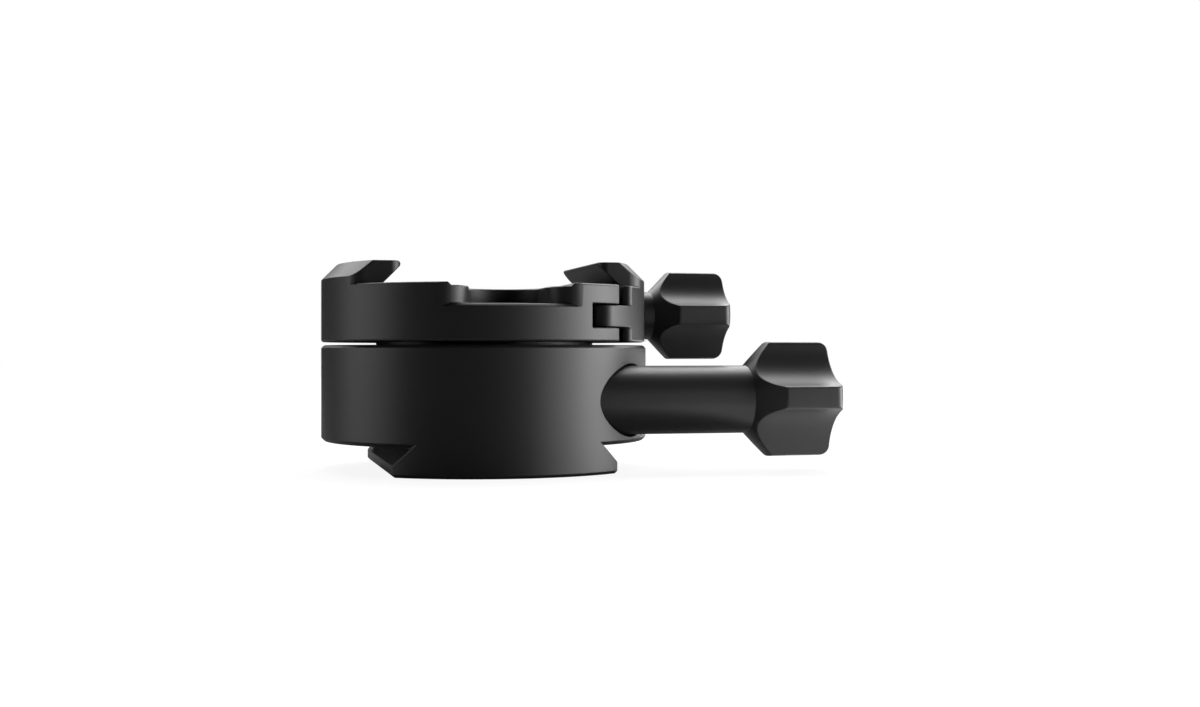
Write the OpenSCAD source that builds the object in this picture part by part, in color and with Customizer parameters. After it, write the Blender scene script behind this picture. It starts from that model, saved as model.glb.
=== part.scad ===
// Panning base with a screw-knob quick-release clamp, in millimetres.
// The origin is on the pan axis at the bottom face of the foot, +Z is up,
// both knobs point to +X, and the dovetails run along Y.

/* [Body] */
// Diameter of the base and of the clamp ring
body_d = 58; // [56:0.5:64]
// Height of the base, foot included
base_h = 21.75; // [21.5:0.25:25]
// Gap between the base and the clamp ring
pan_gap = 0.55; // [0.4:0.05:1.2]
// Height of the clamp ring up to its bed
clamp_h = 9.65; // [9.4:0.05:11.5]
// Chamfer round the top edge of the base
base_top_chamfer = 0.5; // [0.2:0.1:1]
// Chamfer round the skirt of the base, above the foot
skirt_chamfer = 0.6; // [0.3:0.05:1.2]
// Chamfer round the clamp ring
rim_chamfer = 0.25; // [0.2:0.05:0.8]

/* [Dovetail foot] */
// Width over the foot's edges
foot_w = 38; // [36:0.5:40]
// Height of the foot
foot_h = 4.9; // [4.4:0.1:5.4]
// Height of the upright band along each edge
foot_band = 1.55; // [1:0.05:2]
// Chamfer round the bottom edge
foot_chamfer = 0.45; // [0.2:0.05:0.8]

/* [Tripod socket] */
// Major diameter of the socket's thread
thread_d = 9.525; // [6.35:0.005:9.525]
// Outer diameter of the threaded bush
bush_d = 14; // [13:0.5:16]
// Length of the threaded bush
bush_l = 7.4; // [6:0.1:7.6]
// Floor left above the bush
socket_floor = 1.5; // [1:0.1:1.8]

/* [Pan bearing] */
// Diameter of the rotor's neck, seen in the gap
neck_d = 38.8; // [37:0.1:40]
// How far the rotor's flange stands out past the neck
flange_lip = 1.7; // [1.2:0.1:1.9]
// Thickness of the flange
flange_t = 1.05; // [0.9:0.05:1.2]
// Diameter of the journal that the cotters grip
journal_d = 30; // [29.4:0.1:30.4]
// Thickness of each slip washer
washer_t = 0.25; // [0.2:0.05:0.3]
// Width of the retaining ring's seat outside the flange
ring_land = 1.9; // [1.4:0.1:2.8]
// Thickness of the retaining ring
ring_t = 1.1; // [0.9:0.05:1.2]

/* [Pan lock] */
// How far the lock axis lies outside the journal
lock_offset = 3.3; // [3.1:0.1:3.8]
// Distance of the lock axis below the top of the base
lock_down = 9.45; // [9.35:0.05:9.65]
// Diameter of the lock shaft
shaft_d = 11.8; // [11:0.1:12]
// Gap round the shaft in its bore
shaft_gap = 0.4; // [0.2:0.05:0.45]
// Diameter of the two cotters
cotter_d = 9.7; // [9.2:0.1:9.8]
// Distance of the shaft's outer end from the pan axis
shaft_reach = 42.95; // [42:0.05:52]
// Diameter of the lock knob
lock_knob_d = 20.1; // [18:0.1:21]
// Length of the lobed grip of the lock knob
lock_grip_l = 10.7; // [8:0.1:14]
// Diameter across the flutes of the lock knob
lock_waist_d = 13.1; // [12.6:0.1:15]
// Width of a lobe of the lock knob
lock_lobe_w = 3.8; // [2.8:0.1:5]
// Rounding of the lock knob's end
lock_end_r = 1.5; // [0.5:0.1:2]
// Rounding along the lobes of the lock knob
lock_edge_r = 0.9; // [0.2:0.1:1.1]

/* [Clamp knob] */
// Height of the stud's axis above the ring's underside
stud_up = 5; // [4.7:0.1:5]
// Diameter of the knob's collar
collar_d = 8.8; // [8:0.1:9]
// Length of the collar outside the jaw
collar_l = 1.9; // [1:0.1:4]
// Diameter of the clamp knob
clamp_knob_d = 16.1; // [14:0.1:16.5]
// Length of the lobed grip of the clamp knob
clamp_grip_l = 10.05; // [8:0.05:11]
// Diameter across the flutes of the clamp knob
clamp_waist_d = 11.2; // [10.4:0.1:12]
// Width of a lobe of the clamp knob
clamp_lobe_w = 3.4; // [2.4:0.1:4.5]
// Rounding of the clamp knob's end
clamp_end_r = 1.5; // [0.5:0.1:2]
// Rounding along the lobes of the clamp knob
clamp_edge_r = 0.25; // [0.2:0.05:0.9]

/* [Jaws] */
// Distance of the fixed jaw's tip from the pan axis
fixed_tip = 16.7; // [16.5:0.1:18]
// Height of the fixed jaw above the bed
fixed_rise = 4; // [3.6:0.1:4.6]
// Half length of the fixed jaw
fixed_half_l = 15.3; // [12:0.1:17]
// Distance of the moving jaw's tip from the pan axis
moving_tip = 17.5; // [16.6:0.05:18.2]
// Height of the moving jaw above the bed
moving_rise = 4.25; // [3.6:0.05:4.6]
// Half length of the moving jaw
moving_half_l = 14.6; // [12:0.1:17]
// How far the moving jaw's outside lies within the ring's
jaw_inset = 0.25; // [0:0.05:0.6]
// Height above the bed where a jaw's shoulder starts
shoulder_up = 1.25; // [0.8:0.05:1.6]
// Rounding along the fixed jaw's tip
fixed_tip_r = 0.55; // [0.3:0.05:0.9]
// Rounding along the moving jaw's tip
moving_tip_r = 0.3; // [0.2:0.05:0.8]
// Rounding of a jaw's ends at the outside
jaw_end_r = 3.2; // [1:0.1:4]
// Rounding of a jaw's ends at the tip
tip_end_r = 1.8; // [0.5:0.1:2.4]
// Distance of the ring's flat, where the moving jaw starts
flat_x = 19.4; // [19:0.1:20]
// Gap between the ring's flat and the moving jaw
block_gap = 1.5; // [1.2:0.05:2]
// Rounding of the moving jaw's upright edges beside the gap
block_edge_r = 1.05; // [0.4:0.05:1.6]
// How far the jaw closes from the place shown
close_travel = 0.8; // [0.4:0.05:1]
// How far the jaw opens from the place shown
open_travel = 3.4; // [2:0.1:3.6]
// Depth of the slot for the jaw's tongue
slot_depth = 5.6; // [5.2:0.1:6]
// Height of the slot
slot_h = 4.06; // [3.6:0.02:4.4]
// Height of the slot's floor above the ring's underside
slot_up = 2.32; // [2:0.02:2.6]
// Rounding of the tongue's corners
tongue_r = 2.2; // [1:0.1:3]

/* [Bed] */
// Half width of the relief channel at its floor
relief_half_w = 9.95; // [9:0.05:12]
// Depth of the relief channel
relief_d = 0.53; // [0.3:0.01:0.8]
// Width of the two end notches
notch_w = 13; // [8:0.1:14]
// Distance from the pan axis to a notch's back wall
notch_y = 11.5; // [11:0.1:19]
// Depth of the notches below the bed
notch_d = 3.5; // [2:0.05:4.5]
// Rounding of a notch's mouth
notch_mouth_r = 4.15; // [2:0.05:6]
// Rounding of a notch's inner end, at most half its width
notch_corner_r = 6.3; // [1:0.1:7]
// Chamfer on the outer edge of a notch's floor
notch_chamfer = 0.45; // [0.1:0.05:0.8]

/* [Fasteners] */
// Diameter of both studs
stud_d = 5; // [4:0.1:5]
// Diameter of the ring's screws
screw_d = 3; // [2.5:0.1:3]
// Distance of the ring's screws from both axes
screw_at = 8.5; // [8.2:0.1:8.8]
// Length of the ring's screws under the head
screw_l = 12; // [9:0.5:13]
// Diameter of the dowel pins
dowel_d = 3; // [2:0.1:3]
// Distance of the dowel pins from the pan axis
dowel_at = 10; // [9:0.1:11]
// Length of the dowel pins
dowel_l = 6; // [4:0.1:6.4]
// Wire diameter of the jaw's spring
wire_d = 0.7; // [0.5:0.05:0.8]
// Turns of the jaw's spring
spring_turns = 5; // [4:1:6]

/* [Hidden] */

$fn = 96;

// Number of lobes on a knob
lobes = 4;

// Clearances
running = 0.05;
side_gap = 0.35;
foot_gap = 0.3;
scallop_gap = 0.3;
cotter_gap = 0.8;
tongue_gap = 0.18;
hover = 0.2;
screw_gap = 0.1;
head_sink = 0.3;
past = 1;
// How far a corner's rounding stands past the round it joins, so that the two cross in an edge
crossing = 0.02;

// Heights from the bottom face up
body_r = body_d / 2;
clamp_z = base_h + pan_gap;
bed_z = clamp_z + clamp_h;
stud_z = clamp_z + stud_up;
relief_z = bed_z - relief_d;
notch_z = bed_z - notch_d;
ring_z = base_h - ring_t;
flange_top_z = ring_z - washer_t - running;
flange_z = flange_top_z - flange_t;
ledge_z = flange_z - washer_t;
cavity_z = bush_l + socket_floor;
journal_z = cavity_z + foot_gap;

// Foot
undercut = foot_h - foot_band - foot_chamfer;

// Pan bearing
flange_d = neck_d + 2 * flange_lip;
ring_d = flange_d + 2 * ring_land;

// Pan lock
lock_y = journal_d / 2 + lock_offset;
lock_z = base_h - lock_down;
cotter_bore_r = cotter_d / 2 + running;
shaft_r = shaft_d / 2;
shaft_bore_r = shaft_r + shaft_gap;
shaft_bore_x = 10;
cotter_bore_end = -14;
shaft_end = shaft_bore_x + foot_gap;
inner_cotter_l = 11.7;
lock_stud_in = 10;
lock_stud_deep = 12;
o_ring_r = 0.6;
groove_w = 2 * o_ring_r + 2 * screw_gap;
groove_x = shaft_end + groove_w;
groove_r = shaft_r - 1.5 * o_ring_r;

// Jaws and clamp screw
slot_x = flat_x - slot_depth;
slot_z = clamp_z + slot_up;
block_x = flat_x + block_gap;
tongue_x = slot_x + close_travel + screw_gap;
tongue_z = slot_z + tongue_gap;
tongue_h = slot_h - 2 * tongue_gap;
jaw_r = body_r - jaw_inset;
seat_depth = 0.75;
seat_x = jaw_r - seat_depth;
knob_washer_t = 0.6;
collar_x = seat_x + knob_washer_t + running;
cone_x = jaw_r + collar_l;
spring_r = 3.2;
spring_bore_r = spring_r + wire_d / 2 + side_gap;
spring_bore_x = 12;
spring_room = 0.6;
tongue_notch = spring_bore_r + spring_room;
thread_bush_wall = 0.9;
thread_bush_r = stud_d / 2 + thread_bush_wall;
pocket_x = 5.6;
clip_lip = 0.6;
clip_groove = 0.6;
clip_t = 0.7;
clip_r = stud_d / 2 + clip_lip;
clip_x = pocket_x - open_travel - running - clip_t;
stud_neck_r = stud_d / 2 - clip_groove;
stud_end = 0.8;
stud_tip = clip_x - stud_end;
pocket_r = clip_r + side_gap + running;
pocket_end = stud_tip - close_travel - clip_lip;
clamp_stud_deep = 9;

// Screws
head_d = 11 / 6 * screw_d;
head_h = screw_d;
head_seat_z = relief_z - head_h - head_sink;
grub_d = 3;
small_grub_d = 2;

// A round bar along X between two values of x
module bar(r, x0, x1, y = 0, z = 0) {
    translate([x0, y, z]) rotate([0, 90, 0]) cylinder(r = r, h = x1 - x0);
}

// A section across Y drawn out past both sides of the ring
module along_y() {
    translate([0, body_r + past, 0]) rotate([90, 0, 0]) linear_extrude(2 * (body_r + past)) children();
}

// A hexagonal recess along Z, open at the top
module hex_recess(across, depth, top) {
    translate([0, 0, top - depth]) cylinder(d = across / cos(30), h = depth + past, $fn = 6);
}

// A disc with both edges chamfered
module chamfered_disc(r, z0, z1, low, high) {
    rotate_extrude() polygon([[0, z0], [r - low, z0], [r, z0 + low], [r, z1 - high], [r - high, z1],
        [0, z1]]);
}

// The part of a sharp corner at c that lies outside the rounding r about o,
// between the directions of the points a and b seen from o
module corner_waste(o, r, a, c, b) {
    difference() {
        polygon([o, a, c, b]);
        translate(o) circle(r = r);
    }
}

// The dovetail foot's section across its length
module foot_section() {
    w = foot_w / 2;
    n = w - undercut - skirt_chamfer;
    top = foot_h + skirt_chamfer;
    edge_z = foot_chamfer + foot_band;
    polygon([[-w, 0], [w, 0], [w, edge_z], [n, top], [-n, top], [-w, edge_z]]);
}

module foot() {
    c = foot_chamfer;
    w = foot_w / 2;
    intersection() {
        chamfered_disc(body_r, 0, foot_h + skirt_chamfer, c, 0);
        along_y() foot_section();
        // Chamfer along the two straight edges
        along_y() polygon([[c - w, 0], [w - c, 0], [w + base_h, c + base_h], [-w - base_h, c + base_h]]);
    }
}

module base_body() {
    color("#1c1c1e") difference() {
        union() {
            chamfered_disc(body_r, foot_h, base_h, skirt_chamfer, base_top_chamfer);
            foot();
        }
        // Seats of the bush, journal, flange and ring
        translate([0, 0, -past]) cylinder(d = bush_d, h = bush_l + past);
        translate([0, 0, bush_l - past]) cylinder(d = thread_d, h = socket_floor + 2 * past);
        translate([0, 0, cavity_z]) cylinder(r = journal_d / 2 + running, h = base_h);
        translate([0, 0, ledge_z]) cylinder(r = flange_d / 2 + side_gap, h = base_h);
        translate([0, 0, ring_z]) cylinder(d = ring_d, h = base_h);
        // Bore of the lock, stepped for the shaft and the cotters
        bar(cotter_bore_r, cotter_bore_end, shaft_bore_x + past, -lock_y, lock_z);
        bar(shaft_bore_r, shaft_bore_x, body_r + past, -lock_y, lock_z);
        insert_screw_hole();
        ring_screw_hole();
    }
}

module insert_screw_hole() {
    translate([0, bush_d / 2, -past]) cylinder(d = grub_d, h = foot_h + past);
}

module ring_screw_hole() {
    translate([-ring_d / 2, 0, flange_z]) cylinder(d = small_grub_d, h = base_h);
}

module tripod_insert() {
    color("#8e8f92") difference() {
        cylinder(d = bush_d, h = bush_l);
        translate([0, 0, -past]) cylinder(d = thread_d, h = bush_l + 2 * past);
        insert_screw_hole();
    }
}

module insert_set_screw() {
    color("#6b6c70") translate([0, bush_d / 2, 0]) difference() {
        translate([0, 0, hover]) cylinder(d = grub_d, h = foot_h - hover);
        mirror([0, 0, 1]) hex_recess(grub_d / 2, grub_d / 2, -hover);
    }
}

module slip_washer(r0, r1, z) {
    color("#f0efe9") translate([0, 0, z]) difference() {
        cylinder(r = r1, h = washer_t);
        translate([0, 0, -past]) cylinder(r = r0, h = washer_t + 2 * past);
    }
}

module lower_thrust_washer() {
    slip_washer(journal_d / 2 + side_gap, flange_d / 2, ledge_z);
}

module upper_thrust_washer() {
    slip_washer(neck_d / 2 + side_gap, flange_d / 2, ring_z - washer_t);
}

module retaining_ring() {
    spanner_r = 0.8;
    spanner_at = (neck_d + ring_d) / 4 + side_gap / 2;
    color("#2a2a2c") difference() {
        translate([0, 0, ring_z]) cylinder(d = ring_d, h = ring_t);
        translate([0, 0, ring_z - past]) cylinder(r = neck_d / 2 + side_gap, h = ring_t + 2 * past);
        for (a = [45 : 90 : 315]) rotate(a) translate([spanner_at, 0, ring_z - past])
            cylinder(r = spanner_r, h = ring_t + 2 * past);
        ring_screw_hole();
    }
}

module ring_set_screw() {
    color("#6b6c70") difference() {
        translate([-ring_d / 2, 0, flange_z]) cylinder(d = small_grub_d, h = base_h - hover - flange_z);
        translate([-ring_d / 2, 0, 0]) hex_recess(small_grub_d / 2, small_grub_d / 2, base_h - hover);
    }
}

// Places what follows at the ring's four screws
module at_screws() {
    for (x = [-screw_at, screw_at], y = [-screw_at, screw_at]) translate([x, y, 0]) children();
}

// Places what follows at the two dowel pins
module at_dowels() {
    for (y = [-dowel_at, dowel_at]) translate([0, y, clamp_z]) children();
}

module rotor() {
    pocket_d = 11;
    pocket_l = 3.5;
    edge = 0.5;
    jr = journal_d / 2;
    color("#2a2a2c") difference() {
        rotate_extrude() polygon([[0, journal_z], [jr - edge, journal_z], [jr, journal_z + edge],
            [jr, flange_z], [flange_d / 2, flange_z], [flange_d / 2, flange_top_z],
            [neck_d / 2, flange_top_z], [neck_d / 2, clamp_z], [0, clamp_z]]);
        translate([0, 0, journal_z - past]) cylinder(d = pocket_d, h = pocket_l + past);
        at_screws() translate([0, 0, head_seat_z - screw_l - foot_gap]) cylinder(d = screw_d, h = base_h);
        at_dowels() translate([0, 0, -dowel_l / 2]) cylinder(d = dowel_d, h = dowel_l);
    }
}

// A jaw on the +X side: its outside is turned about the pan axis, its inside is straight.
// The 45 degree undercut runs from the tip down to foot_z, and the jaw stands on what lies past foot_x.
module raised_jaw(r, tip, tip_r, rise, half_l, foot_z, foot_x) {
    top = bed_z + rise;
    low = bed_z - past;
    o = [tip + tip_r, top - tip_r];
    touch = o - tip_r * [cos(45), sin(45)];
    under_x = touch[0] + touch[1] - foot_z;
    wall_x = max(under_x, foot_x);
    intersection() {
        rotate_extrude() polygon([[0, low], [r, low], [r, bed_z + shoulder_up],
            [r + shoulder_up - rise, top], [0, top]]);
        along_y() {
            polygon([[wall_x, low], [body_r + past, low], [body_r + past, top], [o[0], top], o, touch,
                [under_x, foot_z], [wall_x, foot_z]]);
            translate(o) circle(r = tip_r);
        }
        translate([0, 0, low]) linear_extrude(rise + 2 * past) jaw_plan(r, tip, half_l);
    }
}

// Plan of a jaw with rounded ends
module jaw_plan(r, tip, half_l) {
    oy = half_l - jaw_end_r;
    in = r - jaw_end_r + crossing;
    ox = sqrt(in * in - oy * oy);
    out = (r + past) / in;
    tx = tip + tip_end_r;
    ty = half_l - tip_end_r;
    difference() {
        translate([tip, -half_l]) square([r + past - tip, 2 * half_l]);
        for (s = [-1, 1]) scale([1, s]) {
            corner_waste([ox, oy], jaw_end_r, [ox, half_l + past], [r + 2 * past, half_l + past],
                out * [ox, oy]);
            corner_waste([tx, ty], tip_end_r, [tx, half_l + past], [tip - past, half_l + past],
                [tip - past, ty]);
        }
    }
}

// Plan of the end notch on the -Y side, with its flared mouth
module notch_plan() {
    w = notch_w / 2;
    ox = w + notch_mouth_r;
    in = body_r - notch_mouth_r + crossing;
    oy = -sqrt(in * in - ox * ox);
    out = (body_r + 2 * past) / in;
    c = min(notch_corner_r, w - running);
    difference() {
        translate([-w, oy]) square([2 * w, -oy - notch_y]);
        for (s = [-1, 1]) scale([s, 1])
            corner_waste([w - c, -notch_y - c], c, [w - c, -notch_y + past], [w + past, -notch_y + past],
                [w + past, -notch_y - c]);
    }
    difference() {
        polygon([[-ox, oy], [ox, oy], out * [ox, oy], [0, -out * body_r], out * [-ox, oy]]);
        for (s = [-1, 1]) translate([s * ox, oy]) circle(r = notch_mouth_r);
    }
}

// The end notch with the chamfer on its floor's outer edge
module notch() {
    c = notch_chamfer;
    translate([0, 0, notch_z]) linear_extrude(notch_d + past) notch_plan();
    intersection() {
        translate([0, 0, notch_z - c - past]) linear_extrude(c + 2 * past) notch_plan();
        rotate_extrude() polygon([[body_r - c - past, notch_z + past], [body_r - c, notch_z],
            [body_r + past, notch_z - c - past], [body_r + past, notch_z + past]]);
    }
}

module clamp_body() {
    w = relief_half_w;
    up = relief_d + past;
    color("#1c1c1e") difference() {
        union() {
            chamfered_disc(body_r, clamp_z, bed_z, rim_chamfer, rim_chamfer);
            mirror([1, 0, 0]) raised_jaw(body_r, fixed_tip, fixed_tip_r, fixed_rise, fixed_half_l, bed_z, 0);
        }
        along_y() {
            // Room of the moving jaw and the slot for its tongue
            translate([flat_x, clamp_z - past]) square([body_r, clamp_h + 2 * past]);
            translate([slot_x, slot_z]) square([slot_depth + past, slot_h]);
            // Relief channel with sloping sides
            translate([0, relief_z]) polygon([[-w, 0], [w, 0], [w + up, up], [-w - up, up]]);
        }
        notch();
        mirror([0, 1, 0]) notch();
        // Bores of the bush and the spring
        bar(thread_bush_r, pocket_x, spring_bore_x, 0, stud_z);
        bar(spring_bore_r, spring_bore_x, flat_x + past, 0, stud_z);
        // Pocket of the stud's clip, open below and closed by the rotor
        bar(pocket_r, pocket_end, pocket_x, 0, stud_z);
        translate([pocket_end, -pocket_r, clamp_z - past])
            cube([pocket_x - pocket_end, 2 * pocket_r, stud_up + past]);
        at_screws() {
            translate([0, 0, clamp_z - past]) cylinder(d = screw_d + 2 * screw_gap, h = clamp_h);
            translate([0, 0, head_seat_z]) cylinder(d = head_d + 4 * screw_gap, h = clamp_h);
        }
        at_dowels() translate([0, 0, -past]) cylinder(d = dowel_d, h = dowel_l / 2 + past);
    }
}

module mount_screws() {
    color("#4a4b4e") at_screws() difference() {
        union() {
            translate([0, 0, head_seat_z]) cylinder(d = head_d, h = head_h);
            translate([0, 0, head_seat_z - screw_l]) cylinder(d = screw_d, h = screw_l + head_h / 2);
        }
        hex_recess(0.83 * screw_d, 0.55 * head_h, head_seat_z + head_h);
    }
}

module dowel_pins() {
    color("#8e8f92") at_dowels() translate([0, 0, -dowel_l / 2]) cylinder(d = dowel_d, h = dowel_l);
}

module thread_bush() {
    color("#8e8f92") difference() {
        bar(thread_bush_r, pocket_x, spring_bore_x, 0, stud_z);
        bar(stud_d / 2 + running, pocket_x - past, spring_bore_x + past, 0, stud_z);
    }
}

// Plan of the moving jaw past x, with its two corners rounded
module jaw_segment(x, corner_r) {
    ox = x + corner_r;
    in = jaw_r - corner_r + crossing;
    oy = sqrt(in * in - ox * ox);
    out = (jaw_r + past) / in;
    difference() {
        intersection() {
            circle(r = jaw_r);
            translate([x, -jaw_r]) square([jaw_r, 2 * jaw_r]);
        }
        for (s = [-1, 1]) scale([1, s])
            corner_waste([ox, oy], corner_r, [x - past, oy], [x - past, jaw_r + past], out * [ox, oy]);
    }
}

// Plan of the jaw's tongue with room for the spring
module tongue_plan() {
    difference() {
        jaw_segment(tongue_x, tongue_r);
        translate([tongue_x - past, -tongue_notch]) square([block_x + past - tongue_x, 2 * tongue_notch]);
        translate([block_x + block_edge_r + past, -jaw_r]) square([jaw_r, 2 * jaw_r]);
    }
}

module moving_jaw() {
    color("#1c1c1e") difference() {
        union() {
            intersection() {
                chamfered_disc(jaw_r, clamp_z, bed_z, rim_chamfer, rim_chamfer);
                translate([0, 0, clamp_z - past]) linear_extrude(clamp_h + 2 * past)
                    jaw_segment(block_x, block_edge_r);
                // Chamfer along the top edge beside the gap
                along_y() translate([block_x + rim_chamfer, bed_z])
                    polygon([[past, past], [body_r, past], [body_r, -body_r], [-body_r, -body_r]]);
            }
            translate([0, 0, tongue_z]) linear_extrude(tongue_h) tongue_plan();
            raised_jaw(jaw_r, moving_tip, moving_tip_r, moving_rise, moving_half_l, bed_z + hover,
                block_x);
        }
        bar(stud_d / 2 + 2 * running, block_x - past, jaw_r + past, 0, stud_z);
        bar(collar_d / 2 + side_gap, seat_x, jaw_r + past, 0, stud_z);
    }
}

// Point k of n on the spring's centre line, drawn about +Z
function coil_point(k, n, turns, len) =
    [spring_r * cos(360 * turns * k / n), spring_r * sin(360 * turns * k / n), len * k / n];

// Point j of m on the wire round point k
function wire_point(k, n, j, m, turns, len) =
    let (a = 360 * turns * k / n, b = 360 * j / m, out = wire_d / 2 * cos(b))
    coil_point(k, n, turns, len) + [out * cos(a), out * sin(a), wire_d / 2 * sin(b)];

module jaw_spring() {
    len = block_x - spring_bore_x - wire_d - 2 * running;
    m = 6;
    n = 16 * spring_turns;
    points = [for (k = [0 : n], j = [0 : m - 1]) wire_point(k, n, j, m, spring_turns, len)];
    sides = [for (k = [0 : n - 1], j = [0 : m - 1], h = [0, 1])
        let (a = k * m + j, b = k * m + (j + 1) % m)
        h == 0 ? [a, a + m, b + m] : [a, b + m, b]];
    start = [for (j = [1 : m - 2]) [0, j, j + 1]];
    end = [for (j = [1 : m - 2]) [n * m, n * m + j + 1, n * m + j]];
    color("#b9babd") translate([spring_bore_x + wire_d / 2 + running, 0, stud_z]) rotate([0, 90, 0])
        polyhedron(points = points, faces = concat(sides, start, end));
}

module knob_washer() {
    color("#b08d3c") difference() {
        bar(collar_d / 2, seat_x, seat_x + knob_washer_t, 0, stud_z);
        bar(stud_d / 2 + screw_gap, seat_x - past, seat_x + knob_washer_t + past, 0, stud_z);
    }
}

// A flute's circle: it passes through the waist and the edges of two lobes
function flute_radius(r, waist_r, lobe_w) =
    let (half = 180 / lobes - asin(lobe_w / 2 / r), dip = r * cos(half) - waist_r, chord = r * sin(half))
    (chord * chord + dip * dip) / (2 * dip);

// Section of a grip: flutes cut in a round, with the lobes' edges rounded
module lobed_section(r, waist_r, lobe_w, edge_r) {
    flute_r = flute_radius(r, waist_r, lobe_w);
    far = waist_r + flute_r;
    half = 180 / lobes - asin(lobe_w / 2 / r);
    // The rounding joins the round from inside and touches the flute from outside
    in = r - edge_r + crossing;
    turn = acos((in * in + far * far - pow(flute_r + edge_r, 2)) / (2 * in * far));
    o = in * [cos(turn), sin(turn)];
    touch = o + ([far, 0] - o) * edge_r / (flute_r + edge_r);
    difference() {
        circle(r = r + past);
        for (k = [1 : lobes]) rotate((k - 0.5) * 360 / lobes) {
            translate([far, 0]) circle(r = flute_r);
            for (s = [-1, 1]) scale([1, s])
                corner_waste(o, edge_r, touch, (r + past) * [cos(half - 2), sin(half - 2)],
                    (r + 2 * past) * [cos(turn), sin(turn)]);
        }
    }
}

// A lobed knob along X: a stem, a 45 degree cone and a fluted grip with a rounded end
module lobed_knob(stem_r, stem_x, cone_start, r, grip_l, waist_r, lobe_w, end_r, edge_r) {
    grip_x = cone_start + r - stem_r;
    end_x = grip_x + grip_l;
    rotate([0, 90, 0]) intersection() {
        rotate_extrude() {
            polygon([[0, stem_x], [stem_r, stem_x], [stem_r, cone_start], [r, grip_x], [r, end_x - end_r],
                [r - end_r, end_x - end_r], [r - end_r, end_x], [0, end_x]]);
            translate([r - end_r, end_x - end_r]) circle(r = end_r);
        }
        translate([0, 0, stem_x - past]) linear_extrude(end_x - stem_x + 2 * past)
            lobed_section(r, waist_r, lobe_w, edge_r);
    }
}

module clamp_knob() {
    color("#1c1c1e") difference() {
        translate([0, 0, stud_z]) lobed_knob(collar_d / 2, collar_x, cone_x, clamp_knob_d / 2, clamp_grip_l,
            clamp_waist_d / 2, clamp_lobe_w, clamp_end_r, clamp_edge_r);
        bar(stud_d / 2, collar_x - past, collar_x + clamp_stud_deep, 0, stud_z);
    }
}

module clamp_stud() {
    color("#8e8f92") difference() {
        bar(stud_d / 2, stud_tip, collar_x + clamp_stud_deep, 0, stud_z);
        // Groove of the clip
        difference() {
            bar(stud_d, clip_x, clip_x + clip_t, 0, stud_z);
            bar(stud_neck_r, clip_x - past, clip_x + clip_t + past, 0, stud_z);
        }
    }
}

module stud_clip() {
    color("#6b6c70") difference() {
        bar(clip_r, clip_x, clip_x + clip_t, 0, stud_z);
        bar(stud_neck_r, clip_x - past, clip_x + clip_t + past, 0, stud_z);
        // Mouth of the clip
        translate([clip_x - past, -stud_neck_r, stud_z - clip_r - past])
            cube([clip_t + 2 * past, 2 * stud_neck_r, clip_r + past]);
    }
}

module lock_knob() {
    color("#1c1c1e") difference() {
        translate([0, -lock_y, lock_z]) lobed_knob(shaft_r, shaft_end, shaft_reach, lock_knob_d / 2,
            lock_grip_l, lock_waist_d / 2, lock_lobe_w, lock_end_r, lock_edge_r);
        bar(stud_d / 2, shaft_end - past, shaft_end + lock_stud_deep, -lock_y, lock_z);
        difference() {
            bar(shaft_r + past, groove_x, groove_x + groove_w, -lock_y, lock_z);
            bar(groove_r, groove_x - past, groove_x + groove_w + past, -lock_y, lock_z);
        }
    }
}

module lock_stud() {
    color("#8e8f92") bar(stud_d / 2, -lock_stud_in, shaft_end + lock_stud_deep, -lock_y, lock_z);
}

// A cotter between two values of x, scalloped to the journal
module cotter(x0, x1, hole_r) {
    color("#a58a4a") difference() {
        bar(cotter_d / 2, x0, x1, -lock_y, lock_z);
        bar(hole_r, x0 - past, x1 + past, -lock_y, lock_z);
        cylinder(r = journal_d / 2 + scallop_gap, h = base_h);
    }
}

module outer_cotter() {
    cotter(cotter_gap, shaft_end, stud_d / 2 + 2 * running);
}

module inner_cotter() {
    cotter(-cotter_gap - inner_cotter_l, -cotter_gap, stud_d / 2 + running);
}

module shaft_o_ring() {
    color("#111111") translate([groove_x + groove_w / 2, -lock_y, lock_z]) rotate([0, 90, 0])
        rotate_extrude() translate([groove_r + o_ring_r, 0]) circle(r = o_ring_r, $fn = 32);
}

base_body();
tripod_insert();
insert_set_screw();
lower_thrust_washer();
upper_thrust_washer();
retaining_ring();
ring_set_screw();
rotor();
clamp_body();
mount_screws();
dowel_pins();
thread_bush();
moving_jaw();
jaw_spring();
knob_washer();
clamp_knob();
clamp_stud();
stud_clip();
lock_knob();
lock_stud();
outer_cotter();
inner_cotter();
shaft_o_ring();
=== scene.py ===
import math

import bmesh
import bpy
from mathutils import Matrix, Vector
from mathutils.geometry import intersect_line_line_2d


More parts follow.
